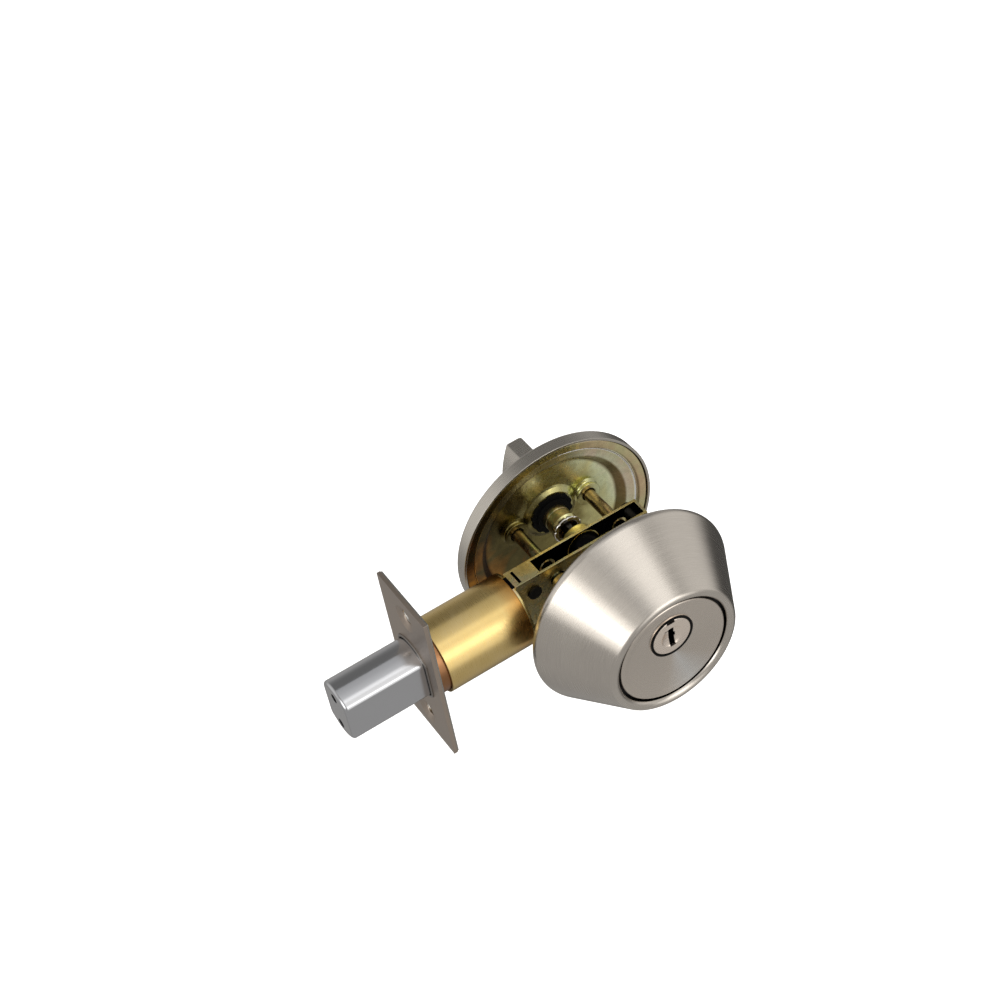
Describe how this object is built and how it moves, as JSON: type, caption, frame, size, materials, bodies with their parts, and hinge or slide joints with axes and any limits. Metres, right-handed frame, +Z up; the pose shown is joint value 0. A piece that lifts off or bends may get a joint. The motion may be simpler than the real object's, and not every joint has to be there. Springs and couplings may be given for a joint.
{
  "type": "deadbolt door lock",
  "caption": "Tubular deadbolt with a tapered keyed collar outside, a sliding chrome bolt in a round tube and case, and a flat rose with a thumbturn inside.",
  "frame": {"origin": "where the axis of the two round trims crosses the axis of the bolt tube", "axes": "-X is the way the bolt throws, -Y is the key side of the door, +Y is the thumbturn side, +Z is up"},
  "size_m": [0.1189, 0.0791, 0.066],
  "materials": {
    "black_bushing": "black",
    "bolt_chrome": "polished chrome",
    "bright_ring": "polished",
    "brushed_stainless": "brushed around the cone",
    "copper_sleeve": "satin",
    "cylinder_brass": "cast and machined",
    "dark_steel": "oiled",
    "disc_stainless": "brushed across the disc",
    "gold_cam": "yellow passivated",
    "gold_tube": "satin, yellow passivated",
    "liner_steel": "plain",
    "olive_chromate": "iridescent yellow passivation",
    "plated_steel": "zinc plated",
    "plug_nickel": "satin nickel",
    "satin_nickel": "satin nickel",
    "satin_nickel_plate": "satin",
    "screw_steel": "yellow passivated",
    "spring_steel": "plain",
    "yellow_chromate": "yellow passivated"
  },
  "bodies": {
    "lock": {"collar": "brushed_stainless", "collar_liner": "liner_steel", "face_disc": "disc_stainless", "cylinder_housing": "cylinder_brass", "pin_cover": "cylinder_brass", "driver_pin_1": "plated_steel", "driver_pin_2": "plated_steel", "driver_pin_3": "plated_steel", "driver_pin_4": "plated_steel", "driver_pin_5": "plated_steel", "pin_spring_1": "spring_steel", "pin_spring_2": "spring_steel", "pin_spring_3": "spring_steel", "pin_spring_4": "spring_steel", "pin_spring_5": "spring_steel", "faceplate": "satin_nickel_plate", "faceplate_backing": "plated_steel", "guide_sleeve": "copper_sleeve", "bolt_tube": "gold_tube", "tube_spigot": "yellow_chromate", "case_inner_plate": "yellow_chromate", "case_outer_plate": "yellow_chromate", "case_rivets": "plated_steel", "cam_spring": "spring_steel", "rose": "satin_nickel", "backing_plate": "olive_chromate", "spindle_bushing": "black_bushing"},
    "turn": {"tailpiece": "dark_steel", "crank_cam": "gold_cam", "drive_pin": "plated_steel", "spindle_barrel": "olive_chromate", "spindle_ring": "bright_ring", "spindle_clip": "black_bushing", "thumbturn": "satin_nickel"},
    "bolt": {"bolt_bar": "bolt_chrome", "hardened_pins": "dark_steel", "drawbar": "plated_steel", "drawbar_rivet": "plated_steel"},
    "plug": {"key_plug": "plug_nickel", "plug_retainer": "plated_steel", "key_pin_1": "cylinder_brass", "key_pin_2": "cylinder_brass", "key_pin_3": "cylinder_brass", "key_pin_4": "cylinder_brass", "key_pin_5": "cylinder_brass"},
    "screw_left": {"screw_left": "screw_steel"},
    "screw_right": {"screw_right": "screw_steel"}
  },
  "joints": [
    {"name": "thumbturn_turn", "type": "hinge", "parent": "lock", "child": "turn", "pos_m": [0, 0, 0.006], "axis": [0, -1, 0], "range_deg": [0, 90]},
    {"name": "bolt_slide", "type": "slide", "parent": "lock", "child": "bolt", "axis": [1, 0, 0], "range_m": [0, 0.0254]},
    {"name": "key_turn", "type": "hinge", "parent": "lock", "child": "plug", "pos_m": [0, 0, 0.006], "axis": [0, -1, 0], "range_deg": [-90, 90]},
    {"name": "screw_left_turn", "type": "hinge", "parent": "lock", "child": "screw_left", "pos_m": [-0.0127, 0, 0.006], "axis": [0, -1, 0], "continuous": true},
    {"name": "screw_right_turn", "type": "hinge", "parent": "lock", "child": "screw_right", "pos_m": [0.0127, 0, 0.006], "axis": [0, -1, 0], "continuous": true}
  ],
  "couplings": [
    {"joint": "bolt_slide", "follows": "thumbturn_turn", "m_per_rad": 0.01617}
  ]
}
